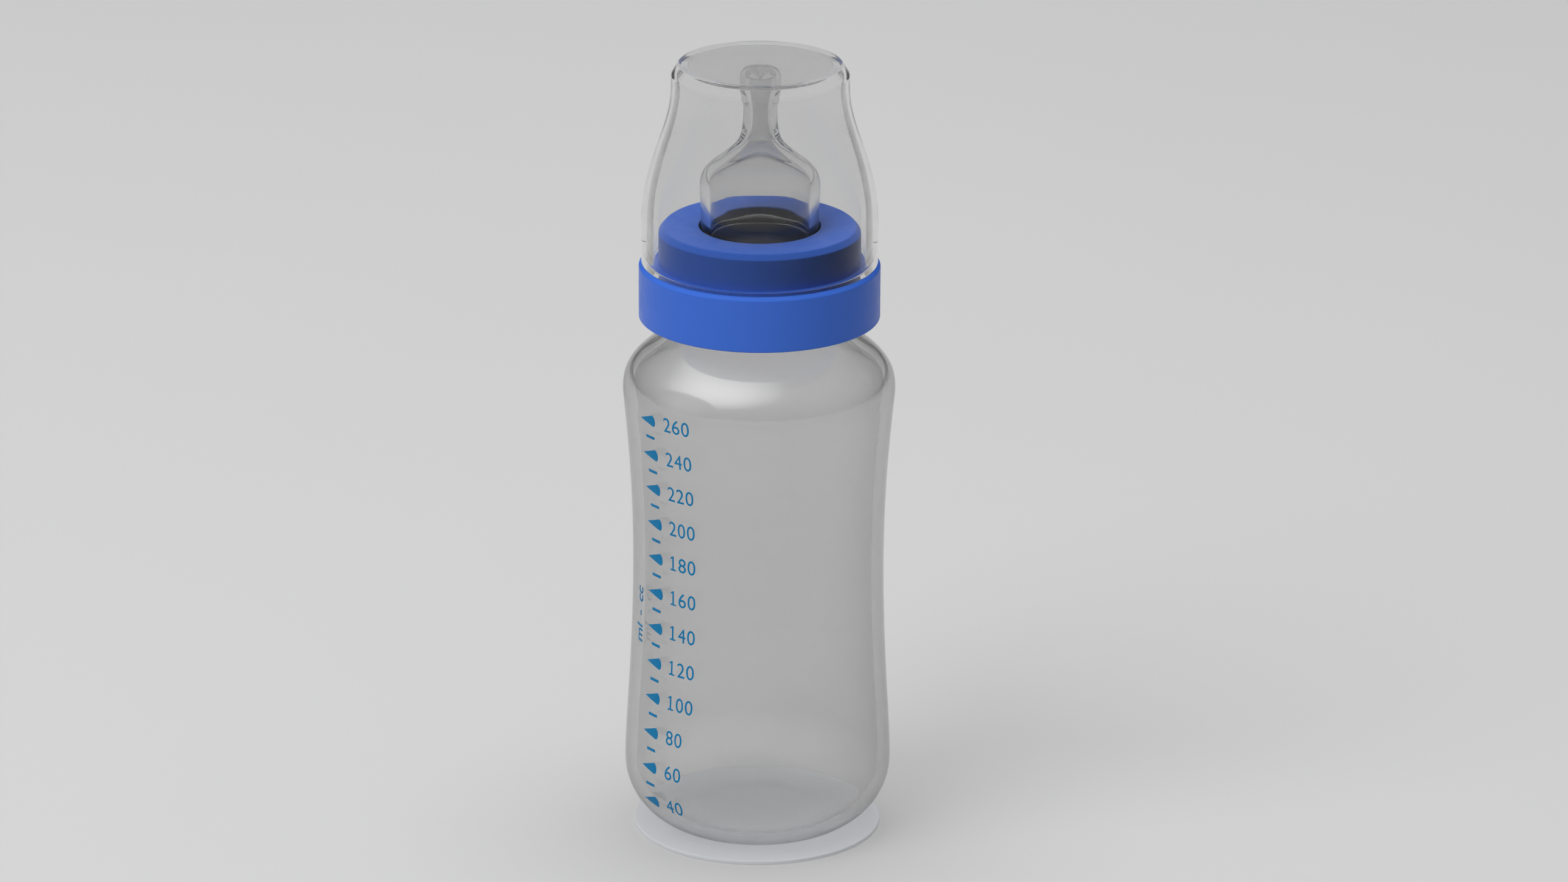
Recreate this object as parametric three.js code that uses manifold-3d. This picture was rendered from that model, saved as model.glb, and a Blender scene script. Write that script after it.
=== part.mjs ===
// Wide-neck baby bottle: clear glass bottle on a clear foot, blue screw ring, clear teat and clear hood.
// Millimetres, +Z up. The origin is the centre of the face that the foot stands on.
import * as THREE from 'three';
import { mergeVertices } from 'three/addons/utils/BufferGeometryUtils.js';
import Module from 'manifold-3d';

const wasm = await Module();
wasm.setup();

// ---- Driving dimensions ----

const AROUND = 36; // facets round every turned piece

const FOOT_RADIUS = 29.1;
const FOOT_THICKNESS = 1.0;
const FOOT_SEAT_RADIUS = 19.0;
const FOOT_SEAT_DEPTH = 0.3;

const BOTTLE_Z = FOOT_THICKNESS - FOOT_SEAT_DEPTH; // the bottle stands in the foot's shallow seat
const GLASS = 2.8; // wall of the bottle
const BASE_FLAT_RADIUS = 15.3;
const BASE_CORNER = 16;
const WAIST_RADIUS = 29.4; // heights on the bottle are measured from its base
const WAIST_HEIGHT = 66;
const SHOULDER_RADIUS = 31.7;
const SHOULDER_HEIGHT = 107.1;
const SLOPE_RADIUS = 27; // where the shoulder's outward bend turns into the neck's inward bend
const SLOPE_HEIGHT = 117;
const NECK_RADIUS = 20.6;
const NECK_START = 127;
const MOUTH_RADIUS = 18.3;
const LIP = 0.6; // rounding of the rim

const RING_BASE = 125.2;
const RING_LEDGE = 138.45; // the hood stands here
const RING_TOP = 147.1;
const RING_RADIUS = 28.0;
const RING_SKIRT_WALL = 1.6;
const RING_ROOF = 1.5; // plastic over the hollow flange
const RING_CHAMFER = 0.85;
const RING_EDGE = 0.3; // broken bottom edge
const TIER_RADIUS = 23.45;
const TIER_PLATE = 1.7;
const TIER_CHAMFER = 1.15;
const RING_HOLE_RADIUS = 14.06;
const SLEEVE_BORE = 22.0;
const RING_RIBS = 12;
const RIB_THICKNESS = 1;
const RIB_RECESS = 0.8; // how far the ribs stop short of the ring's bottom

const THREAD_PITCH = 4.5;
const THREAD_TURNS = 1.1;
const THREAD_START = 131.6;
const BOTTLE_BEAD = 1.15;
const RING_BEAD = 1.1;
const BEAD_SINK = 0.05; // how deep a bead's centre line lies in the wall it stands on

const FLANGE_THICKNESS = 1.4;
const FLANGE_RADIUS = 20.2;
const CLAMP_GAP = 0.05; // clearance on each side of the teat's flange
const RIM_HEIGHT = RING_TOP - TIER_PLATE - FLANGE_THICKNESS - 2 * CLAMP_GAP;

const TEAT_BASE_RADIUS = 13.7;
const TEAT_BASE_TOP = 151;
const TEAT_DOME_RADIUS = 13.95;
const TEAT_DOME_HEIGHT = 156;
const TEAT_SLOPE_RADIUS = 8.4; // where the dome's outward bend turns into the waist's inward bend
const TEAT_SLOPE_HEIGHT = 164.2;
const TEAT_WAIST_RADIUS = 3.94;
const TEAT_WAIST_HEIGHT = 175;
const TEAT_BULB_RADIUS = 4.8;
const TEAT_BULB_HEIGHT = 181;
const TEAT_TIP_RADIUS = 2.4;
const TEAT_TIP = 183.8;
const SILICONE = 2.2; // wall of the teat
const FEED_HOLE_RADIUS = 0.4;
const VENT_RADIUS = 0.5;

const HOOD_TOP = 185.9;
const HOOD_RADIUS = 27.4;
const HOOD_BEND_START = 148; // the hood is a straight tube below this height
const HOOD_CROWN_HEIGHT = 179;
const HOOD_CROWN_RADIUS = 20.65;
const HOOD_EDGE_HEIGHT = 183.4; // lower edge of the chamfer round the top
const HOOD_EDGE_RADIUS = 20.5;
const HOOD_TOP_RADIUS = 18.9;
const HOOD_WALL = 2.8;
const HOOD_CROWN_WALL = 2.1;
const HOOD_TOP_WALL = 1.5;

// ---- Helpers ----

const at = (radius, height) => new THREE.Vector2(radius, height);

// The points of a path, without the repeats where one of its curves meets the next.
function outlineOf(path, divisions) {
  const points = path.getPoints(divisions);
  return points.filter((point, i) => i === 0 || point.distanceTo(points[i - 1]) > 1e-6);
}

// Adds a smooth stretch to a path. It leaves along one handle, arrives along the other and stops at end.
function stretch(path, leave, arrive, end) {
  const { x, y } = path.currentPoint;
  path.bezierCurveTo(x + leave.x, y + leave.y, end.x - arrive.x, end.y - arrive.y, end.x, end.y);
}

// A turned solid: outline points run up the outside and back down the inside, or start and end on the axis.
function turned(points) {
  const geometry = new THREE.LatheGeometry(points, AROUND);
  return geometry.rotateX(Math.PI / 2);
}

// A shifted copy of an open outline, moved inwards by the wall and mitred at its corners.
function insetOutline(points, wall) {
  const normal = (a, b) => new THREE.Vector2(a.y - b.y, b.x - a.x).normalize();
  return points.map((point, i) => {
    const before = normal(points[Math.max(i - 1, 0)], points[Math.max(i, 1)]);
    const after = normal(points[Math.min(i, points.length - 2)], points[Math.min(i + 1, points.length - 1)]);
    const mitre = before.clone().add(after).normalize();
    return point.clone().addScaledVector(mitre, wall / mitre.dot(before));
  });
}

function toSolid(geometry) {
  const bare = geometry.clone();
  bare.deleteAttribute('normal');
  bare.deleteAttribute('uv');
  const merged = mergeVertices(bare, 1e-4);
  const index = merged.index.array;
  const triangles = [];
  for (let i = 0; i < index.length; i += 3) {
    const [a, b, c] = index.slice(i, i + 3);
    if (a !== b && b !== c && c !== a) {
      triangles.push(a, b, c);
    }
  }
  const mesh = new wasm.Mesh({
    numProp: 3,
    vertProperties: Float32Array.from(merged.attributes.position.array),
    triVerts: Uint32Array.from(triangles),
  });
  return new wasm.Manifold(mesh);
}

function toGeometry(solid) {
  const mesh = solid.getMesh();
  const geometry = new THREE.BufferGeometry();
  geometry.setAttribute('position', new THREE.BufferAttribute(mesh.vertProperties, 3));
  geometry.setIndex(new THREE.BufferAttribute(mesh.triVerts, 1));
  geometry.computeVertexNormals();
  return geometry;
}

function piece(name, geometry, material, z = 0) {
  const mesh = new THREE.Mesh(geometry, material);
  mesh.name = name;
  mesh.position.z = z;
  return mesh;
}

// Right-hand helix whose ends run out sideways into the wall that carries the thread.
class ThreadPath extends THREE.Curve {
  constructor(radius, start, runOut) {
    super();
    this.radius = radius;
    this.start = start;
    this.runOut = runOut;
  }

  getPoint(t, target = new THREE.Vector3()) {
    const angle = 2 * Math.PI * THREAD_TURNS * t;
    const endShare = 0.1;
    const fade = 1 - Math.min(1, t / endShare, (1 - t) / endShare);
    const radius = this.radius + this.runOut * fade * fade;
    const height = this.start + THREAD_PITCH * THREAD_TURNS * t;
    return target.set(radius * Math.cos(angle), radius * Math.sin(angle), height);
  }
}

function threadBead(path, beadRadius) {
  const section = new THREE.Shape().absarc(0, 0, beadRadius, 0, 2 * Math.PI);
  return new THREE.ExtrudeGeometry(section, { steps: 36, curveSegments: 8, extrudePath: path });
}

// ---- Pieces ----

function footDisc() {
  const edge = 0.25; // rounded rim of the soft disc
  return turned([
    at(0, 0),
    at(FOOT_RADIUS - edge, 0),
    at(FOOT_RADIUS, edge),
    at(FOOT_RADIUS, FOOT_THICKNESS - edge),
    at(FOOT_RADIUS - edge, FOOT_THICKNESS),
    at(FOOT_SEAT_RADIUS, FOOT_THICKNESS),
    at(FOOT_SEAT_RADIUS - edge, BOTTLE_Z),
    at(0, BOTTLE_Z),
  ]);
}

// Outside of the bottle from the axis to the neck: round base corner, slim waist, round shoulder.
function bottleOutside() {
  const wall = BASE_FLAT_RADIUS + BASE_CORNER;
  const base = new THREE.Path();
  base.moveTo(0, 0);
  base.lineTo(BASE_FLAT_RADIUS, 0);
  base.absarc(BASE_FLAT_RADIUS, BASE_CORNER, BASE_CORNER, -Math.PI / 2, 0);
  const waist = new THREE.Path();
  waist.moveTo(wall, BASE_CORNER);
  stretch(waist, at(0, 10), at(0, 24), at(WAIST_RADIUS, WAIST_HEIGHT));
  stretch(waist, at(0, 20), at(0.7, 8.1), at(SHOULDER_RADIUS, SHOULDER_HEIGHT));
  const shoulder = new THREE.Path();
  shoulder.moveTo(SHOULDER_RADIUS, SHOULDER_HEIGHT);
  stretch(shoulder, at(0.2, 4.9), at(-3.2, 2.8), at(SLOPE_RADIUS, SLOPE_HEIGHT));
  stretch(shoulder, at(-2.4, 2.1), at(0, 4.5), at(NECK_RADIUS, NECK_START));
  return [...outlineOf(base, 5), ...outlineOf(waist, 5).slice(1), ...outlineOf(shoulder, 6).slice(1)];
}

function bottle() {
  const outside = bottleOutside();
  const inside = insetOutline(outside, GLASS).reverse();
  inside[0].set(MOUTH_RADIUS, NECK_START);
  const body = turned([
    ...outside,
    at(NECK_RADIUS, RIM_HEIGHT - LIP),
    at(NECK_RADIUS - LIP, RIM_HEIGHT),
    at(MOUTH_RADIUS + LIP, RIM_HEIGHT),
    at(MOUTH_RADIUS, RIM_HEIGHT - LIP),
    ...inside,
  ]);
  const path = new ThreadPath(NECK_RADIUS - BEAD_SINK, THREAD_START, -1);
  return toGeometry(toSolid(body).add(toSolid(threadBead(path, BOTTLE_BEAD))));
}

// The closed channel between the ring's inner sleeve and outer skirt, open at the bottom and split by ribs.
function ringChannel() {
  const roof = RING_LEDGE - RING_ROOF;
  const inner = TIER_RADIUS;
  const outer = RING_RADIUS - RING_SKIRT_WALL;
  const mouth = RING_BASE - 1;
  const corners = [at(inner, mouth), at(outer, mouth), at(outer, roof), at(inner, roof), at(inner, mouth)];
  let solid = toSolid(turned(corners));
  const rib = new THREE.BoxGeometry(2 * (outer - inner), RIB_THICKNESS, roof - RING_BASE);
  rib.translate((inner + outer) / 2, 0, (roof + RING_BASE) / 2 + RIB_RECESS);
  for (let i = 0; i < RING_RIBS; i += 1) {
    const turn = (2 * Math.PI * (i + 0.5)) / RING_RIBS;
    solid = solid.subtract(toSolid(rib.clone().rotateZ(turn)));
  }
  return solid;
}

function screwRing() {
  const plate = RING_TOP - TIER_PLATE;
  const shell = turned([
    at(SLEEVE_BORE, RING_BASE),
    at(RING_RADIUS - RING_EDGE, RING_BASE),
    at(RING_RADIUS, RING_BASE + RING_EDGE),
    at(RING_RADIUS, RING_LEDGE - RING_CHAMFER),
    at(RING_RADIUS - RING_CHAMFER, RING_LEDGE),
    at(TIER_RADIUS, RING_LEDGE),
    at(TIER_RADIUS, RING_TOP - TIER_CHAMFER),
    at(TIER_RADIUS - TIER_CHAMFER, RING_TOP),
    at(RING_HOLE_RADIUS, RING_TOP),
    at(RING_HOLE_RADIUS, plate),
    at(SLEEVE_BORE, plate),
    at(SLEEVE_BORE, RING_BASE),
  ]);
  const path = new ThreadPath(SLEEVE_BORE + BEAD_SINK, THREAD_START - THREAD_PITCH / 2, 1);
  return toGeometry(toSolid(shell).add(toSolid(threadBead(path, RING_BEAD))).subtract(ringChannel()));
}

// Outside of the teat above its flange: straight base, low dome, slim waist and a flat-topped bulb.
function teatOutside(flangeTop) {
  const dome = new THREE.Path();
  dome.moveTo(TEAT_BASE_RADIUS, flangeTop);
  dome.lineTo(TEAT_BASE_RADIUS, TEAT_BASE_TOP);
  stretch(dome, at(0, 2), at(0, 2.4), at(TEAT_DOME_RADIUS, TEAT_DOME_HEIGHT));
  stretch(dome, at(0, 4.8), at(-3.4, 2.9), at(TEAT_SLOPE_RADIUS, TEAT_SLOPE_HEIGHT));
  stretch(dome, at(-3.4, 2.9), at(0, 7), at(TEAT_WAIST_RADIUS, TEAT_WAIST_HEIGHT));
  stretch(dome, at(0, 3), at(0, 3.1), at(TEAT_BULB_RADIUS, TEAT_BULB_HEIGHT));
  stretch(dome, at(0, 2), at(-1.6, 0), at(TEAT_TIP_RADIUS, TEAT_TIP));
  return [...outlineOf(dome, 4), at(FEED_HOLE_RADIUS, TEAT_TIP)];
}

function teat() {
  const bottom = RIM_HEIGHT + CLAMP_GAP;
  const top = bottom + FLANGE_THICKNESS;
  const outside = teatOutside(top);
  const inside = insetOutline(outside, SILICONE).reverse();
  inside[0].x = FEED_HOLE_RADIUS;
  inside[inside.length - 1].y = bottom;
  const flangeBottom = at(FLANGE_RADIUS, bottom);
  const body = turned([flangeBottom, at(FLANGE_RADIUS, top), ...outside, ...inside, flangeBottom.clone()]);
  const vent = new THREE.CylinderGeometry(VENT_RADIUS, VENT_RADIUS, 3 * FLANGE_THICKNESS, 12);
  vent.rotateX(Math.PI / 2);
  vent.translate(0, (TEAT_BASE_RADIUS + MOUTH_RADIUS) / 2, (bottom + top) / 2);
  return toGeometry(toSolid(body).subtract(toSolid(vent)));
}

function hood() {
  const foot = RING_LEDGE + CLAMP_GAP;
  const outside = new THREE.Path();
  outside.moveTo(HOOD_RADIUS, foot);
  outside.lineTo(HOOD_RADIUS, HOOD_BEND_START);
  stretch(outside, at(0, 13), at(-0.55, 9.5), at(HOOD_CROWN_RADIUS, HOOD_CROWN_HEIGHT));
  outside.lineTo(HOOD_EDGE_RADIUS, HOOD_EDGE_HEIGHT);
  outside.lineTo(HOOD_TOP_RADIUS, HOOD_TOP);
  const skirt = HOOD_RADIUS - HOOD_WALL;
  const crown = HOOD_CROWN_RADIUS - HOOD_CROWN_WALL;
  const ceiling = HOOD_TOP - HOOD_TOP_WALL;
  const cornerAcross = 1.8; // the slanted corner under the ceiling
  const cornerDown = 2.4;
  const inside = new THREE.Path();
  inside.moveTo(0, ceiling);
  inside.lineTo(crown - cornerAcross, ceiling);
  inside.lineTo(crown, ceiling - cornerDown);
  inside.lineTo(crown, HOOD_CROWN_HEIGHT);
  stretch(inside, at(0.5, -9.7), at(0, -12.6), at(skirt, HOOD_BEND_START));
  inside.lineTo(skirt, foot);
  const shell = outlineOf(outside, 8);
  return turned([...shell, at(0, HOOD_TOP), ...outlineOf(inside, 8), shell[0].clone()]);
}

// ---- Materials ----

const glass = new THREE.MeshStandardMaterial({ color: 0xc9ced2, roughness: 0.05, metalness: 0 });
const bluePlastic = new THREE.MeshStandardMaterial({ color: 0x2f5fd0, roughness: 0.35, metalness: 0 });
const silicone = new THREE.MeshStandardMaterial({ color: 0xd2d4d4, roughness: 0.25, metalness: 0 });
const clearPlastic = new THREE.MeshStandardMaterial({ color: 0xdadcdc, roughness: 0.1, metalness: 0 });
const softFoot = new THREE.MeshStandardMaterial({ color: 0xd6dade, roughness: 0.3, metalness: 0 });

// ---- Assembly ----

const babyBottle = new THREE.Group();
babyBottle.add(piece('foot_disc', footDisc(), softFoot));
babyBottle.add(piece('bottle', bottle(), glass, BOTTLE_Z));
babyBottle.add(piece('teat', teat(), silicone, BOTTLE_Z));
babyBottle.add(piece('screw_ring', screwRing(), bluePlastic, BOTTLE_Z));
babyBottle.add(piece('hood', hood(), clearPlastic, BOTTLE_Z));

export default babyBottle;
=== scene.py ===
"""Looks of the baby bottle: smooth glass, silicone and plastic shells turned round the bottle's axis,
a printed scale wrapped onto the glass, and a plain studio."""

import math

import bmesh
import bpy
import numpy as np
from mathutils import Matrix, Vector


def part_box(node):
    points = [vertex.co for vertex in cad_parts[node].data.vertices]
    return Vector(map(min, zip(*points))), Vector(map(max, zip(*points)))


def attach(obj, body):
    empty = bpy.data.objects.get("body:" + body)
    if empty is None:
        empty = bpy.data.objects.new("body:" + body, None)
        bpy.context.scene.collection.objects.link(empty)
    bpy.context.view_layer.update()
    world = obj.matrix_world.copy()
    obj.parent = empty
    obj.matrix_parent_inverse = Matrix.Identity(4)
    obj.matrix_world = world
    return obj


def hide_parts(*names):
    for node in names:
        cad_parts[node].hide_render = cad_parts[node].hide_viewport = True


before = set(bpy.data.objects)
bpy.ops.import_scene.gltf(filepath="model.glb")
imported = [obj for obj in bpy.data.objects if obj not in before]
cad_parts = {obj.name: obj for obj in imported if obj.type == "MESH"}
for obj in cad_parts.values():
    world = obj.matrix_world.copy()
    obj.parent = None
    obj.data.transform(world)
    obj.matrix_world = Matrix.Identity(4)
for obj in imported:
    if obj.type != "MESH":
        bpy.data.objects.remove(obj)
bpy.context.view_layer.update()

# ---- Sizes in millimetres, overall ones from the frame. Heights are measured from the bottle's base. ----

MM = 0.001
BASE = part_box("bottle")[0].z / MM


def radius_of(node):
    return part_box(node)[1].x / MM


def bottom_of(node):
    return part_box(node)[0].z / MM - BASE


def top_of(node):
    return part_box(node)[1].z / MM - BASE


FOOT_RADIUS = radius_of("foot_disc")
FOOT_TOP = top_of("foot_disc")
FOOT_BOTTOM = -BASE
FOOT_RIM = 2  # level edge round the foot's dish
FOOT_EDGE = 0.3
SEAT_RADIUS = 15
SEAT_HEIGHT = -0.05  # just under the bottle's base

GLASS = 2.8  # wall of the bottle
BASE_FLAT_RADIUS = 15.3
BASE_CORNER = 16
WAIST_RADIUS = 29.4
WAIST_HEIGHT = 66
SHOULDER_RADIUS = radius_of("bottle")
SHOULDER_HEIGHT = 107.1
SLOPE_RADIUS = 27  # where the shoulder's outward bend turns into the neck's inward bend
SLOPE_HEIGHT = 117
NECK_RADIUS = 20.6
NECK_START = 127
MOUTH_RADIUS = 18.3
RIM = top_of("bottle")
LIP = 0.8  # rounding of the rim

THREAD_PITCH = 4.5
THREAD_TURNS = 1.1
THREAD_START = 131.6
THREAD_HALF_WIDTH = 1.15
THREAD_DEPTH = 1.1
RING_THREAD_DEPTH = 1.05

HOOD_FOOT = bottom_of("hood")
HOOD_TOP = top_of("hood")
HOOD_RADIUS = radius_of("hood")
HOOD_BEND_START = 148  # the hood is a straight tube below this height
HOOD_CROWN_RADIUS = 20.65
HOOD_CROWN_HEIGHT = 179
HOOD_EDGE_RADIUS = 20.5
HOOD_EDGE_HEIGHT = 183.4  # lower edge of the chamfer round the top
HOOD_TOP_RADIUS = 18.9
HOOD_WALL = 2.8
HOOD_CROWN_WALL = 2.1
HOOD_TOP_WALL = 1.5
HOOD_GAP = 0.05  # between the hood's foot and the ring's ledge
HOOD_ROUNDING = 0.25

RING_BASE = bottom_of("screw_ring")
RING_LEDGE = HOOD_FOOT - HOOD_GAP
RING_TOP = top_of("screw_ring")
RING_RADIUS = radius_of("screw_ring")
RING_SKIRT_WALL = 1.6
RING_ROOF = 1.5  # plastic over the hollow ledge
RING_CHAMFER = 0.85
RING_EDGE = 0.35  # rounding of its free edges
RING_SOFTENING = 0.2  # rounding beside its chamfers and its ledge
TIER_RADIUS = 23.45
TIER_PLATE = 1.7
TIER_CHAMFER = 1.15
HOLE_RADIUS = 14.06
SLEEVE_BORE = 22

FLANGE_BOTTOM = bottom_of("teat")
FLANGE_RADIUS = radius_of("teat")
FLANGE = 1.4
FLANGE_ROUNDING = 0.4
TEAT_WALL = 2.2
TEAT_BASE_RADIUS = 13.7
TEAT_BASE_TOP = 151
TEAT_DOME_RADIUS = 13.95
TEAT_DOME_HEIGHT = 156
TEAT_SLOPE_RADIUS = 8.4  # where the dome's outward bend turns into the waist's inward bend
TEAT_SLOPE_HEIGHT = 164.2
TEAT_WAIST_RADIUS = 3.94
TEAT_WAIST_HEIGHT = 175
TEAT_BULB_RADIUS = 4.8
TEAT_BULB_HEIGHT = 181
TEAT_TIP_RADIUS = 2.4
TEAT_TIP = top_of("teat")
FEED_HOLE_RADIUS = 0.4
FEED_HOLE_ROUNDING = 0.3


# ---- Outlines: lists of (radius, height) ----


class Outline:
    """A path of radius and height that grows by lines, rounded corners and smooth stretches."""

    def __init__(self, radius, height):
        self.points = [(radius, height)]

    def line(self, radius, height, steps=1):
        return self.bend([(radius, height)], steps)

    def bend(self, corners, steps):
        """A Bezier curve from the last point, pulled towards the corners, that ends at the last of them."""
        start = self.points[-1]
        for i in range(1, steps + 1):
            row = np.array([start, *corners], dtype=float)
            while len(row) > 1:
                row = row[:-1] + (row[1:] - row[:-1]) * i / steps
            self.points.append(tuple(row[0]))
        return self

    def stretch(self, leave, arrive, end, steps):
        """A smooth stretch that leaves along one handle, arrives along the other and stops at end."""
        r, h = self.points[-1]
        handles = (r + leave[0], h + leave[1]), (end[0] - arrive[0], end[1] - arrive[1])
        return self.bend([*handles, end], steps)

    def turn(self, corner, end, steps=5):
        """Rounds the corner between the last point and end."""
        return self.bend([corner, end], steps)

    def corner(self, place, before, after, straight=1, steps=5):
        """A line in some straight steps to just before a corner, then a turn to just after it."""
        self.line(place[0] + before[0], place[1] + before[1], straight)
        return self.turn(place, (place[0] + after[0], place[1] + after[1]), steps)


def inset(points, wall):
    """The outline moved inwards by the wall, its normals averaged at each point."""
    p = np.array(points)
    along = np.gradient(p, axis=0)
    along /= np.linalg.norm(along, axis=1)[:, None]
    inwards = np.stack([-along[:, 1], along[:, 0]], axis=1)
    return [tuple(q) for q in p + inwards * wall]


def bottle_outside():
    """From the middle of the flat base round its corner and up past the waist and shoulder to the neck."""
    line = Outline(0, 0).line(BASE_FLAT_RADIUS, 0, 4)
    corner_steps = 24
    for i in range(1, corner_steps + 1):
        a = math.pi / 2 * i / corner_steps
        line.points.append((BASE_FLAT_RADIUS + BASE_CORNER * math.sin(a), BASE_CORNER * (1 - math.cos(a))))
    line.stretch((0, 10), (0, 24), (WAIST_RADIUS, WAIST_HEIGHT), steps=24)
    line.stretch((0, 20), (0.7, 8.1), (SHOULDER_RADIUS, SHOULDER_HEIGHT), steps=24)
    line.stretch((0.2, 4.9), (-3.2, 2.8), (SLOPE_RADIUS, SLOPE_HEIGHT), steps=14)
    line.stretch((-2.4, 2.1), (0, 4.5), (NECK_RADIUS, NECK_START), steps=14)
    return line.points


def bottle_outline():
    """Outside, neck, rounded rim and inside. The neck's bore replaces the inside's top two points."""
    outside = bottle_outside()
    neck = Outline(NECK_RADIUS, NECK_START)
    neck.corner((NECK_RADIUS, RIM), (0, -LIP), (-LIP, 0), straight=60)
    neck.corner((MOUTH_RADIUS, RIM), (LIP, 0), (0, -LIP))
    neck.line(MOUTH_RADIUS, NECK_START, 12)
    inside = inset(outside, GLASS)[::-1]
    inside[-1] = (0, inside[-1][1])
    return outside + neck.points[1:] + inside[2:]


def ring_outline():
    """Round the sleeve, channel, skirt, ledge, tier and plate, and back down the threaded bore."""
    edge, soft = RING_EDGE, RING_SOFTENING
    skirt = RING_RADIUS - RING_SKIRT_WALL
    roof = RING_LEDGE - RING_ROOF
    plate = RING_TOP - TIER_PLATE
    line = Outline(SLEEVE_BORE, RING_BASE + edge)
    line.turn((SLEEVE_BORE, RING_BASE), (SLEEVE_BORE + edge, RING_BASE))
    line.corner((TIER_RADIUS, RING_BASE), (-edge, 0), (0, edge))
    line.line(TIER_RADIUS, roof, 4)
    line.line(skirt, roof)
    line.corner((skirt, RING_BASE), (0, edge), (edge, 0), straight=4)
    line.corner((RING_RADIUS, RING_BASE), (-edge, 0), (0, edge))
    line.corner((RING_RADIUS, RING_LEDGE - RING_CHAMFER), (0, -soft), (-soft, soft), straight=6, steps=4)
    line.corner((RING_RADIUS - RING_CHAMFER, RING_LEDGE), (soft, -soft), (-2 * soft, 0), steps=4)
    line.corner((TIER_RADIUS, RING_LEDGE), (soft, 0), (0, soft), straight=3, steps=4)
    line.corner((TIER_RADIUS, RING_TOP - TIER_CHAMFER), (0, -soft), (-soft, soft), straight=5, steps=4)
    line.corner((TIER_RADIUS - TIER_CHAMFER, RING_TOP), (soft, -soft), (-2 * soft, 0), steps=4)
    line.corner((HOLE_RADIUS, RING_TOP), (edge, 0), (0, -edge), straight=5)
    line.corner((HOLE_RADIUS, plate), (0, soft), (soft, 0), straight=2)
    line.line(SLEEVE_BORE, plate, 4)
    line.line(SLEEVE_BORE, RING_BASE + edge, 70)
    return line.points[:-1]


def teat_outside():
    """From just above the flange up the straight base, low dome and slim waist to the bulb's flat tip."""
    line = Outline(TEAT_BASE_RADIUS, FLANGE_BOTTOM + FLANGE + FLANGE_ROUNDING)
    line.line(TEAT_BASE_RADIUS, TEAT_BASE_TOP, 5)
    line.stretch((0, 2), (0, 2.4), (TEAT_DOME_RADIUS, TEAT_DOME_HEIGHT), steps=10)
    line.stretch((0, 4.8), (-3.4, 2.9), (TEAT_SLOPE_RADIUS, TEAT_SLOPE_HEIGHT), steps=18)
    line.stretch((-3.4, 2.9), (0, 7), (TEAT_WAIST_RADIUS, TEAT_WAIST_HEIGHT), steps=18)
    line.stretch((0, 3), (0, 3.1), (TEAT_BULB_RADIUS, TEAT_BULB_HEIGHT), steps=14)
    line.stretch((0, 2), (-1.6, 0), (TEAT_TIP_RADIUS, TEAT_TIP), steps=12)
    line.line(FEED_HOLE_RADIUS + FEED_HOLE_ROUNDING, TEAT_TIP, 3)
    return line.points


def teat_outline():
    """Flange, outside, feed hole and inside, back down to the flange's lower face."""
    soft, lip = FLANGE_ROUNDING, FEED_HOLE_ROUNDING
    flange_top = FLANGE_BOTTOM + FLANGE
    outside = teat_outside()
    inside = inset(outside, TEAT_WALL)[::-1]
    flange = Outline(FLANGE_RADIUS - soft, FLANGE_BOTTOM)
    flange.turn((FLANGE_RADIUS, FLANGE_BOTTOM), (FLANGE_RADIUS, FLANGE_BOTTOM + soft))
    flange.corner((FLANGE_RADIUS, flange_top), (0, -soft), (-soft, 0))
    flange.corner((TEAT_BASE_RADIUS, flange_top), (soft, 0), (0, soft), straight=4)
    hole = Outline(*outside[-1])
    hole.turn((FEED_HOLE_RADIUS, TEAT_TIP), (FEED_HOLE_RADIUS, TEAT_TIP - lip))
    hole.corner((FEED_HOLE_RADIUS, TEAT_TIP - TEAT_WALL), (0, lip), (lip, 0), straight=2)
    foot = Outline(*inside[-1])
    foot.corner((inside[-1][0], FLANGE_BOTTOM), (0, soft), (soft, 0))
    return flange.points + outside[1:] + hole.points[1:] + inside[1:] + foot.points[1:]


def hood_outline():
    """Foot, outside, top, ceiling and inside of the hood."""
    soft = HOOD_ROUNDING
    skirt = HOOD_RADIUS - HOOD_WALL
    foot_inside = skirt + 0.2
    crown = HOOD_CROWN_RADIUS - HOOD_CROWN_WALL
    ceiling = HOOD_TOP - HOOD_TOP_WALL
    corner_across, corner_down = 1.8, 2.4  # the slanted corner under the ceiling
    line = Outline(foot_inside, HOOD_FOOT + soft)
    line.turn((foot_inside, HOOD_FOOT), (foot_inside + soft, HOOD_FOOT))
    line.corner((HOOD_RADIUS, HOOD_FOOT), (-soft, 0), (0, soft), straight=2)
    line.line(HOOD_RADIUS, HOOD_BEND_START, 5)
    line.stretch((0, 13), (-0.55, 9.5), (HOOD_CROWN_RADIUS, HOOD_CROWN_HEIGHT), steps=36)
    line.corner((HOOD_EDGE_RADIUS, HOOD_EDGE_HEIGHT), (0.01, -soft), (-0.16, soft), straight=3, steps=4)
    line.corner((HOOD_TOP_RADIUS, HOOD_TOP), (0.16, -soft), (-2 * soft, 0), straight=2, steps=4)
    line.line(0, HOOD_TOP, 8)
    line.line(0, ceiling)
    line.corner((crown - corner_across, ceiling), (-soft, 0), (0.15, -soft), straight=8, steps=4)
    line.corner((crown, ceiling - corner_down), (-0.15, 0.2), (0, -0.3), straight=2, steps=4)
    line.line(crown, HOOD_CROWN_HEIGHT, 2)
    line.stretch((0.5, -9.7), (0, -12.6), (skirt, HOOD_BEND_START + 0.2), steps=36)
    line.line(skirt, HOOD_FOOT + 2 * soft, 5)
    return line.points


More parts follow.
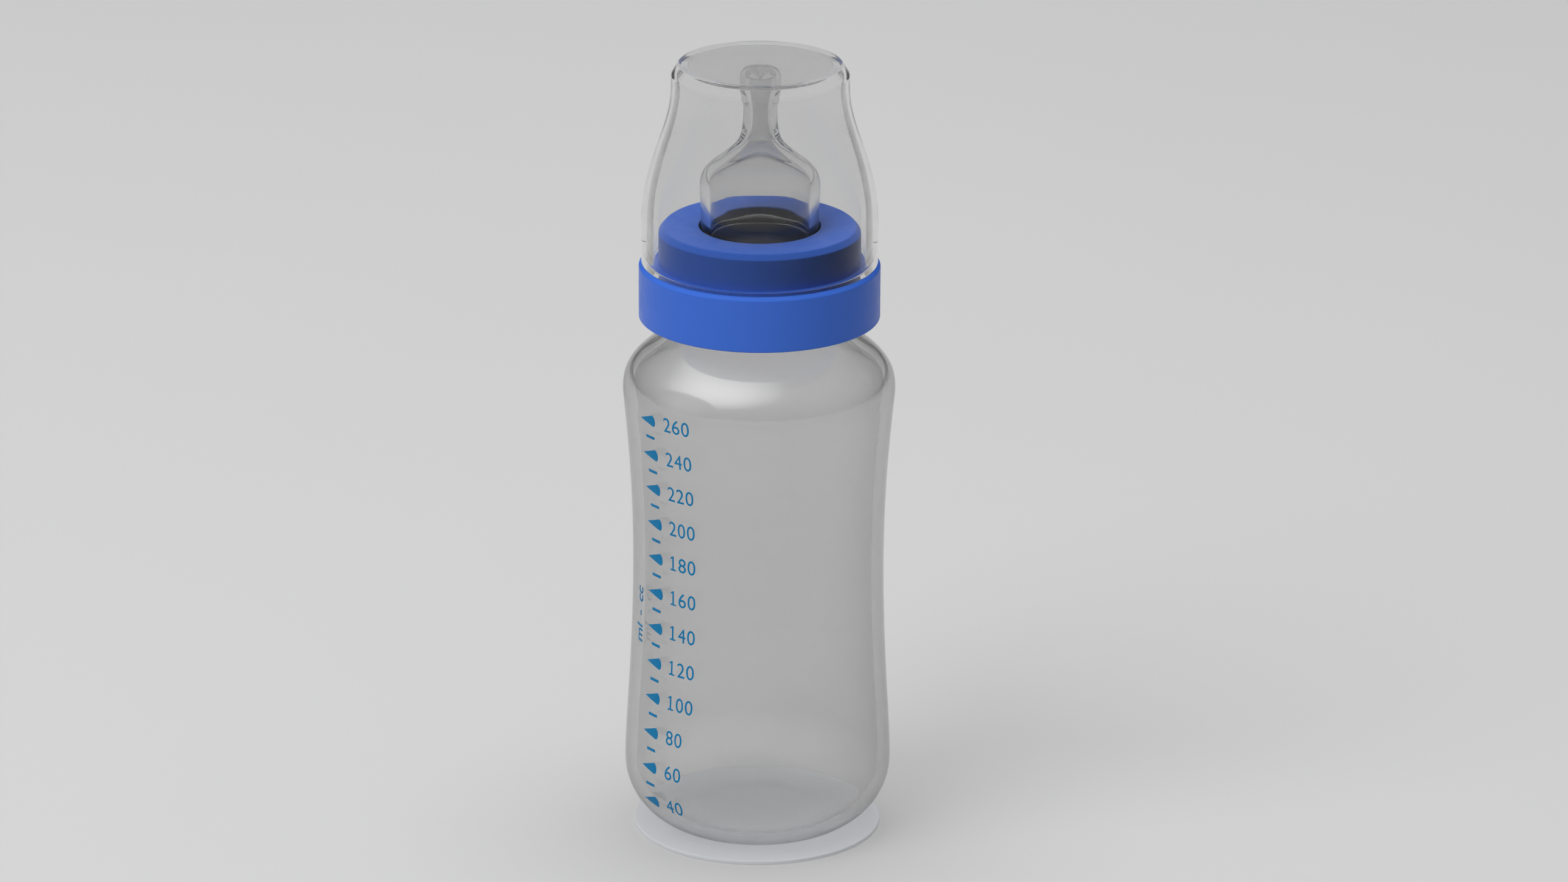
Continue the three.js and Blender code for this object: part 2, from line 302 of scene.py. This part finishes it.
def foot_outline():
    """A soft disc whose top sinks gently to a level seat under the bottle."""
    edge = FOOT_EDGE
    line = Outline(0, FOOT_BOTTOM)
    line.corner((FOOT_RADIUS, FOOT_BOTTOM), (-edge, 0), (0, edge), straight=4)
    line.corner((FOOT_RADIUS, FOOT_TOP), (0, -edge), (-edge, 0))
    line.line(FOOT_RADIUS - FOOT_RIM, FOOT_TOP, 2)
    line.stretch((-5.1, 0), (-4, 0), (SEAT_RADIUS, SEAT_HEIGHT), steps=12)
    line.line(0, SEAT_HEIGHT, 4)
    return line.points


# ---- Meshes ----

AROUND = 180  # facets round a turned piece


def thread_bump(wall, start, depth):
    """A function of angle, radius and height that lifts a round thread off the wall of this radius.
    The lift is outwards for a positive depth and inwards for a negative one."""

    def lift(angle, r, h):
        if abs(r - wall) > 0.01:
            return 0
        highest = 0.0
        for lap in range(-1, math.ceil(THREAD_TURNS) + 1):
            turn = angle / (2 * math.pi) + lap
            across = (h - start - THREAD_PITCH * turn) / THREAD_HALF_WIDTH
            if 0 <= turn <= THREAD_TURNS and abs(across) < 1:
                run_out = math.sin(min(1, turn / 0.12, (THREAD_TURNS - turn) / 0.12) * math.pi / 2)
                highest = max(highest, math.sqrt(1 - across * across) * run_out)
        return depth * highest

    return lift


def revolve(name, outline, bump=None):
    """A closed mesh made by turning an outline round the bottle's axis. bump(angle, r, h) is added to r."""
    on_axis = 1e-6
    vertices = []
    rings = []
    for r, h in outline:
        z = (BASE + h) * MM
        if r < on_axis:
            rings.append([len(vertices)] * AROUND)
            vertices.append((0, 0, z))
            continue
        rings.append(range(len(vertices), len(vertices) + AROUND))
        for k in range(AROUND):
            a = 2 * math.pi * k / AROUND
            radius = (r + (bump(a, r, h) if bump else 0)) * MM
            vertices.append((radius * math.cos(a), radius * math.sin(a), z))
    pairs = list(zip(rings, rings[1:]))
    if outline[0][0] > on_axis:
        pairs.append((rings[-1], rings[0]))
    faces = []
    for low, high in pairs:
        for k in range(AROUND):
            n = (k + 1) % AROUND
            corners = list(dict.fromkeys((low[k], low[n], high[n], high[k])))
            if len(corners) > 2:
                faces.append(corners)
    mesh = bpy.data.meshes.new(name)
    mesh.from_pydata(vertices, [], faces)
    work = bmesh.new()
    work.from_mesh(mesh)
    bmesh.ops.remove_doubles(work, verts=work.verts, dist=1e-7)
    bmesh.ops.recalc_face_normals(work, faces=work.faces)
    work.to_mesh(mesh)
    work.free()
    mesh.shade_smooth()
    mesh.set_sharp_from_angle(angle=math.radians(50))
    return placed(name, mesh)


def placed(name, data):
    """A new object in the scene."""
    thing = bpy.data.objects.new(name, data)
    bpy.context.scene.collection.objects.link(thing)
    return thing


def even_shading(thing):
    thing.modifiers.new("even_shading", "WEIGHTED_NORMAL").keep_sharp = True
    return thing


def dress(thing, material, body, slot, *stands_for):
    """Gives a piece its material and body, and hides the CAD nodes that it stands for. The slot is not used.
    """
    thing.data.materials.append(material)
    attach(thing, body)
    if stands_for:
        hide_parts(*stands_for)
    return thing


# ---- Materials ----


MIX_FACTOR, MIX_FIRST, MIX_SECOND, MIX_RESULT = 0, 6, 7, 2  # sockets of a Mix node that mixes colours


def grey(share):
    return (share, share, share)


class Nodes:
    """One material's node tree, with its Principled shader and the nodes that drive it."""

    def __init__(self, name):
        self.material = bpy.data.materials.new(name)
        self.material.use_nodes = True
        self.tree = self.material.node_tree
        self.shader = self.tree.nodes["Principled BSDF"]
        self.place = self.add("ShaderNodeTexCoord").outputs["Object"]

    def add(self, kind, **values):
        node = self.tree.nodes.new(kind)
        for key, value in values.items():
            setattr(node, key, value)
        return node

    def link(self, a, b):
        self.tree.links.new(a, b)

    def set(self, **values):
        for key, value in values.items():
            self.shader.inputs[key.replace("_", " ")].default_value = value

    def drive(self, name, socket):
        self.link(socket, self.shader.inputs[name])

    def noise(self, scale, detail=3.0, roughness=0.5):
        """Noise with about this many features a metre."""
        node = self.add("ShaderNodeTexNoise")
        node.inputs["Scale"].default_value = scale
        node.inputs["Detail"].default_value = detail
        node.inputs["Roughness"].default_value = roughness
        self.link(self.place, node.inputs["Vector"])
        return node.outputs["Fac"]

    def ranged(self, value, start, stop, low, high):
        """Maps a value that runs from start to stop onto low to high."""
        node = self.add("ShaderNodeMapRange")
        node.inputs["From Min"].default_value = start
        node.inputs["From Max"].default_value = stop
        node.inputs["To Min"].default_value = low
        node.inputs["To Max"].default_value = high
        self.link(value, node.inputs["Value"])
        return node.outputs["Result"]

    def spread(self, noise, low, high):
        """Stretches the middle of a noise over low to high."""
        return self.ranged(noise, 0.3, 0.7, low, high)

    def height(self, start, stop):
        """Rises from nothing to one between two heights on the bottle."""
        place = self.add("ShaderNodeSeparateXYZ")
        self.link(self.place, place.inputs["Vector"])
        return self.ranged(place.outputs["Z"], (BASE + start) * MM, (BASE + stop) * MM, 0, 1)

    def levelness(self):
        """One on level faces, nothing on upright ones."""
        facing = self.add("ShaderNodeSeparateXYZ")
        self.link(self.add("ShaderNodeNewGeometry").outputs["Normal"], facing.inputs["Vector"])
        size = self.add("ShaderNodeMath", operation="ABSOLUTE")
        self.link(facing.outputs["Z"], size.inputs[0])
        return size.outputs[0]

    def slant(self):
        """Rises steeply from nothing on faces that face the eye to one where the eye grazes them."""
        steep = self.add("ShaderNodeMath", operation="POWER")
        steep.inputs[1].default_value = 3
        self.link(self.add("ShaderNodeLayerWeight").outputs["Facing"], steep.inputs[0])
        return steep.outputs[0]

    def colour_between(self, value, dark, light):
        node = self.add("ShaderNodeMix", data_type="RGBA")
        node.inputs[MIX_FIRST].default_value = (*dark, 1)
        node.inputs[MIX_SECOND].default_value = (*light, 1)
        self.link(value, node.inputs[MIX_FACTOR])
        return node.outputs[MIX_RESULT]

    def ramp(self, value, *stops):
        """A grey that follows stops of (value, grey)."""
        node = self.add("ShaderNodeValToRGB")
        marks = node.color_ramp.elements
        marks.remove(marks[1])
        marks[0].position = stops[0][0]
        marks[0].color = (*grey(stops[0][1]), 1)
        for place, share in stops[1:]:
            marks.new(place).color = (*grey(share), 1)
        self.link(value, node.inputs[0])
        return node.outputs["Color"]

    def base_colour(self):
        return self.shader.inputs["Base Color"].links[0].from_socket

    def fade_to(self, share, value):
        """Mixes the base colour into a grey as a value runs from nothing to one."""
        mix = self.colour_between(value, grey(0), grey(share))
        self.link(self.base_colour(), mix.node.inputs[MIX_FIRST])
        self.drive("Base Color", mix)

    def tint(self, colour):
        """Multiplies the base colour by another one."""
        mix = self.add("ShaderNodeMix", data_type="RGBA", blend_type="MULTIPLY")
        mix.inputs[MIX_FACTOR].default_value = 1
        self.link(self.base_colour(), mix.inputs[MIX_FIRST])
        self.link(colour, mix.inputs[MIX_SECOND])
        self.drive("Base Color", mix.outputs[MIX_RESULT])

    def darken_edges(self, share):
        """Painted shade: multiplies the base colour down towards share where the eye meets a clear wall at a
        slant and looks along it, so its edges look darker.
        """
        self.tint(self.ramp(self.slant(), (0, 1), (1, share)))

    def bump(self, height, strength, distance, under=None):
        node = self.add("ShaderNodeBump")
        node.inputs["Strength"].default_value = strength
        node.inputs["Distance"].default_value = distance * MM
        self.link(height, node.inputs["Height"])
        if under is not None:
            self.link(under, node.inputs["Normal"])
        return node.outputs["Normal"]

    def let_lamps_through(self, level, upright):
        """Lamps shine through the surface, dimmed by one share on level faces, another on upright ones."""
        path = self.add("ShaderNodeLightPath")
        open_air = self.add("ShaderNodeBsdfTransparent")
        shade = self.colour_between(self.levelness(), grey(upright), grey(level))
        self.link(shade, open_air.inputs["Color"])
        choice = self.add("ShaderNodeMixShader")
        self.link(path.outputs["Is Shadow Ray"], choice.inputs[0])
        self.link(self.shader.outputs[0], choice.inputs[1])
        self.link(open_air.outputs[0], choice.inputs[2])
        self.link(choice.outputs[0], self.tree.nodes["Material Output"].inputs["Surface"])


def clear_material(name, dark, light, ior, lamps, rough, wave, grain):
    """Clear glass, plastic or silicone: faint waves of the moulding, fine grain and uneven gloss.
    lamps holds the shares of lamp light that pass level and upright faces."""
    n = Nodes(name)
    n.set(Transmission_Weight=1.0, IOR=ior)
    n.drive("Base Color", n.colour_between(n.noise(40), dark, light))
    n.drive("Roughness", n.spread(n.noise(120), *rough))
    waves = n.bump(n.noise(55, 1.0), wave, 0.4)
    n.drive("Normal", n.bump(n.noise(1800), grain, 0.02, waves))
    n.let_lamps_through(*lamps)
    return n


def bottle_glass():
    """Thick glass with painted light and shade in its colour: level faces are painted near-clear, the upright
    walls stay greyer, and their edges are painted dark.
    """
    gloss = {"rough": (0.0, 0.02), "wave": 0.05, "grain": 0.02}
    n = clear_material("bottle_glass", grey(0.78), grey(0.80), ior=1.5, lamps=(1.0, 0.93), **gloss)
    # painted light: level faces (base and shoulder) get a near-clear colour while the upright walls stay grey
    n.fade_to(0.99, n.levelness())
    # painted shade: the colour goes to black where the eye grazes the walls, drawing their dark edges
    n.darken_edges(0)
    n.set(Coat_Roughness=0.32, Coat_IOR=1.5)
    n.drive("Coat Weight", n.ranged(n.slant(), 0.1, 0.5, 1, 0))
    return n.material


def hood_plastic():
    """Clear plastic whose thin sides hardly bend the view, its colour painted with shade by how each face
    tilts: greyer on the top and a little grey on the sides, so the chamfer between reads as a bright band.
    """
    gloss = {"rough": (0.0, 0.02), "wave": 0.01, "grain": 0.01}
    n = clear_material("hood_plastic", grey(0.98), grey(1.0), ior=1.06, lamps=(1.0, 0.97), **gloss)
    # painted shade by tilt: sides 0.915, chamfer left at full colour, top 0.80
    n.tint(n.ramp(n.levelness(), (0.45, 0.915), (0.6, 1), (0.75, 1), (0.95, 0.80)))
    n.drive("IOR", n.ranged(n.levelness(), 0.8, 0.95, 1.06, 1.45))
    n.set(Coat_Roughness=0.05, Coat_IOR=1.49)
    n.drive("Coat Weight", n.ranged(n.slant(), 0, 1, 0.2, 1))
    return n.material


def teat_silicone():
    """Clear silicone with painted shade: the nipple is painted greyer than the dome, and its edges darker
    where the eye grazes them.
    """
    gloss = {"rough": (0.02, 0.06), "wave": 0.05, "grain": 0.03}
    n = clear_material("teat_silicone", grey(0.85), grey(0.88), ior=1.41, lamps=(0.2, 0.3), **gloss)
    # painted shade: the base colour goes greyer from 161 to 168 mm up, standing in for the shade in the
    # nipple's thick walls
    n.fade_to(0.75, n.height(161, 168))
    # painted shade along the edges where the eye grazes the silicone
    n.darken_edges(0.6)
    return n.material


def foot_silicone():
    """Milky silicone with a satin surface."""
    dark, light = (0.73, 0.745, 0.77), (0.76, 0.77, 0.79)
    gloss = {"rough": (0.35, 0.45), "wave": 0.02, "grain": 0.02}
    n = clear_material("foot_silicone", dark, light, ior=1.41, lamps=(0.96, 0.96), **gloss)
    n.set(Transmission_Weight=0.35)
    return n.material


def blue_plastic():
    """Moulded plastic with a fine satin grain."""
    n = Nodes("ring_plastic")
    n.drive("Base Color", n.colour_between(n.noise(25), (0.042, 0.143, 0.62), (0.050, 0.158, 0.68)))
    n.drive("Roughness", n.spread(n.noise(300), 0.32, 0.42))
    n.drive("Normal", n.bump(n.noise(2600, 4.0, 0.6), 0.12, 0.03))
    n.set(Specular_IOR_Level=0.2)
    return n.material


def printed_ink():
    """Matt screen-print ink of uneven thickness."""
    n = Nodes("printed_ink")
    n.drive("Base Color", n.colour_between(n.noise(500), (0.003, 0.165, 0.37), (0.005, 0.20, 0.43)))
    n.drive("Roughness", n.spread(n.noise(900), 0.35, 0.55))
    n.drive("Normal", n.bump(n.noise(4000), 0.2, 0.02))
    n.set(Specular_IOR_Level=0.12)
    return n.material


def floor_paint():
    n = Nodes("floor_paint")
    n.drive("Base Color", n.colour_between(n.noise(3), (0.595, 0.595, 0.597), grey(0.605)))
    n.drive("Roughness", n.spread(n.noise(6), 0.85, 0.95))
    n.set(Specular_IOR_Level=0.1)
    return n.material


# ---- The printed scale. Marks are drawn flat in millimetres, x to the right and y up. ----

SCALE_FIRST, SCALE_LAST, SCALE_STEP = 40, 260, 20  # millilitres
FIRST_MARK = 11.2
STEP_HEIGHT = 8.607
UNITS_STEPS_UP = 5.13  # middle of the units, in steps above the first mark
UNIT_ANGLE = math.radians(-65.4)
ARROW_ANGLE = math.radians(-54.2)
DASH_ANGLE = math.radians(-53.2)
NUMBER_ANGLE = math.radians(-44.2)  # left edge of the numbers
NUMBER_HEIGHT = 3.5
NUMBER_LIFT = 0.25  # the numbers sit a little above the middle of their arrows
DIGIT_STEP = 2.62
DIGIT_SPACE = 0.5
UNIT_HEIGHT = 3.27
INK_THICKNESS = 0.03
INK_GAP = 0.015
GLASS_RADII, GLASS_HEIGHTS = zip(*bottle_outside())


def glass_radius(height):
    return float(np.interp(height, GLASS_HEIGHTS, GLASS_RADII))


def wrap(work, angle, height):
    """Cuts a flat mark into small cells and bends it onto the glass round an angle and a height."""
    cell = 0.5
    reach = 12  # no mark is longer
    for normal in (Vector((1, 0, 0)), Vector((0, 1, 0))):
        for place in np.arange(-reach, reach + cell, cell):
            geometry = work.verts[:] + work.edges[:] + work.faces[:]
            bmesh.ops.bisect_plane(work, geom=geometry, plane_co=normal * place, plane_no=normal)
    around = glass_radius(height)
    for v in work.verts:
        a = angle + v.co.x / around
        h = height + v.co.y
        r = glass_radius(h) + INK_GAP
        v.co = Vector((r * math.sin(a), -r * math.cos(a), BASE + h)) * MM


def glyphs(text, word_space=1.0, weight=0):
    """Flat filled text of the built-in font, and its lowest and highest corners."""
    curve = bpy.data.curves.new("glyphs", "FONT")
    curve.body = text
    curve.space_word = word_space
    curve.offset = weight
    holder = placed("glyphs", curve)
    bpy.context.view_layer.update()
    mesh = bpy.data.meshes.new_from_object(holder)
    bpy.data.objects.remove(holder)
    work = bmesh.new()
    work.from_mesh(mesh)
    bpy.data.meshes.remove(mesh)
    points = np.array([v.co[:2] for v in work.verts])
    return work, points.min(0), points.max(0)


def units():
    """The units, reading upwards, with the middle of their foot at the origin."""
    work, low, high = glyphs("ml - cc", word_space=1.5, weight=0.012)
    scale = UNIT_HEIGHT / (high[1] - low[1])
    middle = (low[0] + high[0]) / 2
    for v in work.verts:
        v.co = Vector(((low[1] - v.co.y) * scale, (v.co.x - middle) * scale, 0))
    return work


def flat_shape(outline):
    work = bmesh.new()
    work.faces.new([work.verts.new((x, y, 0)) for x, y in outline])
    return work


def one(left):
    """The digit one: a stem with a short flag and a foot, its lower left corner at (left, 0)."""
    wide, foot, stem, flag = 1.75, 0.36, 0.46, 0.55
    x0 = left + (wide - stem) / 2
    x1 = x0 + stem
    top = NUMBER_HEIGHT
    right_side = [(left, 0), (left + wide, 0), (left + wide, foot), (x1, foot), (x1, top), (x0 + 0.12, top)]
    flag_tip = [(x0 - flag, top - flag * 0.75), (x0 - flag, top - flag * 1.35)]
    left_side = [(x0, top - flag), (x0, foot), (left, foot)]
    return flat_shape([*right_side, *flag_tip, *left_side])


def digit(value, left):
    """A digit of the printed scale with its cell's left edge at left, standing on y = 0."""
    if value == "1":
        return one(left + 0.33)
    work, low, high = glyphs(value)
    wide = DIGIT_STEP - DIGIT_SPACE
    for v in work.verts:
        x = (v.co.x - low[0]) / (high[0] - low[0]) * wide
        y = (v.co.y - low[1]) / (high[1] - low[1]) * NUMBER_HEIGHT
        v.co = Vector((left + DIGIT_SPACE / 2 + x, y, 0))
    return work


def arrow():
    """A wedge that points left, with a bulging right side."""
    shape = Outline(-2.85, -0.25)
    shape.line(1.95, 1.42)
    shape.turn((2.9, 1.0), (2.85, -0.2), steps=6)
    shape.turn((2.75, -1.25), (2.1, -1.35), steps=6)
    return flat_shape(shape.points[::-1])


def dash():
    wide, tall = 1.6, 0.34
    return flat_shape([(-wide, -tall), (wide, -tall), (wide, tall), (-wide, tall)])


def ink_piece(name, marks, ink):
    """One piece of ink made of flat marks, each wrapped to its own angle and height."""
    joined = bmesh.new()
    for work, angle, height in marks:
        wrap(work, angle, height)
        part = bpy.data.meshes.new("part")
        work.to_mesh(part)
        work.free()
        joined.from_mesh(part)
        bpy.data.meshes.remove(part)
    bmesh.ops.remove_doubles(joined, verts=joined.verts, dist=1e-6)
    for face in joined.faces:
        middle = face.calc_center_median()
        if face.normal.dot(Vector((middle.x, middle.y, 0))) < 0:
            face.normal_flip()
    mesh = bpy.data.meshes.new(name)
    joined.to_mesh(mesh)
    joined.free()
    thing = placed(name, mesh)
    skin = thing.modifiers.new("thickness", "SOLIDIFY")
    skin.thickness = INK_THICKNESS * MM
    skin.offset = 1
    dress(thing, ink, "bottle", "clear_glass")


def printed_scale():
    ink = printed_ink()
    numbers, arrows, dashes = [], [], []
    for i, value in enumerate(range(SCALE_FIRST, SCALE_LAST + 1, SCALE_STEP)):
        height = FIRST_MARK + i * STEP_HEIGHT
        for place, figure in enumerate(str(value)):
            shape = digit(figure, place * DIGIT_STEP)
            numbers.append((shape, NUMBER_ANGLE, height + NUMBER_LIFT - NUMBER_HEIGHT / 2))
        arrows.append((arrow(), ARROW_ANGLE, height))
        if value < SCALE_LAST:
            dashes.append((dash(), DASH_ANGLE, height + STEP_HEIGHT / 2))
    ink_piece("scale_numbers", numbers, ink)
    ink_piece("scale_arrows", arrows, ink)
    ink_piece("scale_dashes", dashes, ink)
    ink_piece("scale_units", [(units(), UNIT_ANGLE, FIRST_MARK + UNITS_STEPS_UP * STEP_HEIGHT)], ink)


# ---- The pieces ----


def build_foot():
    foot = even_shading(revolve("foot_pad", foot_outline()))
    dress(foot, foot_silicone(), "foot", "soft_foot", "foot_disc")


def build_bottle():
    thread = thread_bump(NECK_RADIUS, THREAD_START, THREAD_DEPTH)
    glass = revolve("bottle_glass", bottle_outline(), thread)
    return dress(glass, bottle_glass(), "bottle", "clear_glass", "bottle")


def build_teat():
    teat = even_shading(revolve("teat_body", teat_outline()))
    dress(teat, teat_silicone(), "teat", "silicone", "teat")


def build_ring():
    thread = thread_bump(SLEEVE_BORE, THREAD_START - THREAD_PITCH / 2, -RING_THREAD_DEPTH)
    ring = even_shading(revolve("ring_shell", ring_outline(), thread))
    dress(ring, blue_plastic(), "ring", "blue_plastic", "screw_ring")


def build_hood():
    hood = even_shading(revolve("hood_shell", hood_outline()))
    return dress(hood, hood_plastic(), "hood", "clear_plastic", "hood")


# ---- Studio, in metres. Emission strengths are in Blender's own unit, lamps in watts. ----

AIM = Vector((0, 0, 0.09))  # lamps and cards face the middle of the bottle
FLOOR_REACH = 6.0
FLOOR_DROP = 0.1 * MM  # the foot's lower face stays clear of the floor
ROOM_LIGHT = 0.2
ROOM_WALL = 0.6
MIRRORED_WALL = 0.42
LIGHT_BOUNCES = 24  # the clear walls need many
BRIGHTEST_BOUNCE = 1  # keeps stray sparks out of the hood's edges
ALL_RAYS = ("camera", "diffuse", "glossy", "transmission", "shadow")


def staged(name, work, paint, rays=ALL_RAYS):
    """A part of the studio that only some kinds of light rays meet."""
    mesh = bpy.data.meshes.new(name)
    work.to_mesh(mesh)
    work.free()
    mesh.materials.append(paint)
    thing = placed(name, mesh)
    for ray in ALL_RAYS:
        setattr(thing, "visible_" + ray, ray in rays)
    return thing


def aim(thing, place):
    """Puts a lamp or card at a place, facing the bottle."""
    thing.location = place
    thing.rotation_euler = (AIM - Vector(place)).to_track_quat("-Z", "Y").to_euler()


def only_for(thing, piece):
    """Lets a card or wall light this piece only."""
    lit = bpy.data.collections.new(thing.name)
    lit.objects.link(piece)
    thing.light_linking.receiver_collection = lit


def glowing(name, glow):
    """A material that gives light, and the node that does."""
    paint = bpy.data.materials.new(name)
    paint.use_nodes = True
    nodes = paint.node_tree.nodes
    light = nodes.new("ShaderNodeEmission")
    light.inputs["Strength"].default_value = glow
    paint.node_tree.links.new(light.outputs[0], nodes["Material Output"].inputs["Surface"])
    return paint, light


def card(name, place, radius, glow):
    """A round card that glows less towards its edge and is only seen mirrored in glossy surfaces."""
    work = bmesh.new()
    bmesh.ops.create_circle(work, cap_ends=True, segments=64, radius=radius)
    paint, light = glowing(name, glow)
    tree = paint.node_tree
    distance = tree.nodes.new("ShaderNodeVectorMath")
    distance.operation = "LENGTH"
    fade = tree.nodes.new("ShaderNodeMapRange")
    fade.interpolation_type = "SMOOTHERSTEP"
    fade.inputs["From Max"].default_value = radius
    fade.inputs["To Min"].default_value = glow
    fade.inputs["To Max"].default_value = 0
    tree.links.new(tree.nodes.new("ShaderNodeTexCoord").outputs["Object"], distance.inputs[0])
    tree.links.new(distance.outputs["Value"], fade.inputs["Value"])
    tree.links.new(fade.outputs["Result"], light.inputs["Strength"])
    thing = staged(name, work, paint, ("glossy",))
    aim(thing, place)
    return thing


def dome(name, radius, glow, rays):
    """A pale room wall far round the bottle."""
    work = bmesh.new()
    bmesh.ops.create_icosphere(work, subdivisions=3, radius=radius)
    return staged(name, work, glowing(name, glow)[0], rays)


def softbox(name, place, size, power):
    """A round lamp that lights the scene but isn't mirrored in the gloss or seen through the clear walls."""
    lamp = bpy.data.lights.new(name, "AREA")
    lamp.shape = "DISK"
    lamp.size = size
    lamp.energy = power
    thing = placed(name, lamp)
    thing.visible_transmission = False
    thing.visible_glossy = False
    aim(thing, place)


def floor():
    work = bmesh.new()
    bmesh.ops.create_grid(work, x_segments=1, y_segments=1, size=FLOOR_REACH)
    staged("floor", work, floor_paint()).location.z = -FLOOR_DROP


def room():
    """Even light from all round, a view that keeps the colours plain, and rays enough for the clear walls."""
    scene = bpy.context.scene
    scene.view_settings.view_transform = "Standard"
    scene.world = bpy.data.worlds.new("room_light")
    scene.world.use_nodes = True
    sky = scene.world.node_tree.nodes["Background"]
    sky.inputs["Color"].default_value = (1, 1, 1, 1)
    sky.inputs["Strength"].default_value = ROOM_LIGHT
    for kind in ("max_bounces", "transmission_bounces", "glossy_bounces", "transparent_max_bounces"):
        setattr(scene.cycles, kind, LIGHT_BOUNCES)
    scene.cycles.sample_clamp_indirect = BRIGHTEST_BOUNCE
    scene.cycles.caustics_refractive = False
    scene.cycles.caustics_reflective = False
    dome("room_wall", 5, ROOM_WALL, ("camera", "transmission"))


def lights(bottle, hood):
    """Two large lamps, and the cards and wall that the bottle and the hood mirror."""
    softbox("overhead", (0, 0.3, 2.8), 2.6, 50)
    softbox("key", (-1.5, -1.4, 2.3), 2.2, 54)
    only_for(dome("mirrored_wall", 4.9, MIRRORED_WALL, ("glossy",)), hood)
    only_for(card("card", (-0.68, -0.42, 1.5), 1.8, 3.6), bottle)
    only_for(card("side_card", (-1.3, -0.5, 0.35), 0.9, 0.7), bottle)


def camera():
    """A long lens that looks down on the bottle, its view centred just right of the bottle's axis."""
    elevation = math.radians(19.26)
    roll = math.radians(0.32)
    distance, aside, height = 1737.8, 5.86, 94.25
    data = bpy.data.cameras.new("camera")
    data.sensor_width = 36
    data.lens = 171.03
    thing = placed("camera", data)
    back, up = distance * math.cos(elevation), distance * math.sin(elevation)
    thing.location = Vector((aside, -back, BASE + height + up)) * MM
    tilt = Matrix.Rotation(math.pi / 2 - elevation, 3, "X")
    thing.rotation_euler = (tilt @ Matrix.Rotation(roll, 3, "Z")).to_euler()
    bpy.context.scene.camera = thing


build_foot()
glass_piece = build_bottle()
build_teat()
build_ring()
hood_piece = build_hood()
printed_scale()
room()
floor()
lights(glass_piece, hood_piece)
camera()
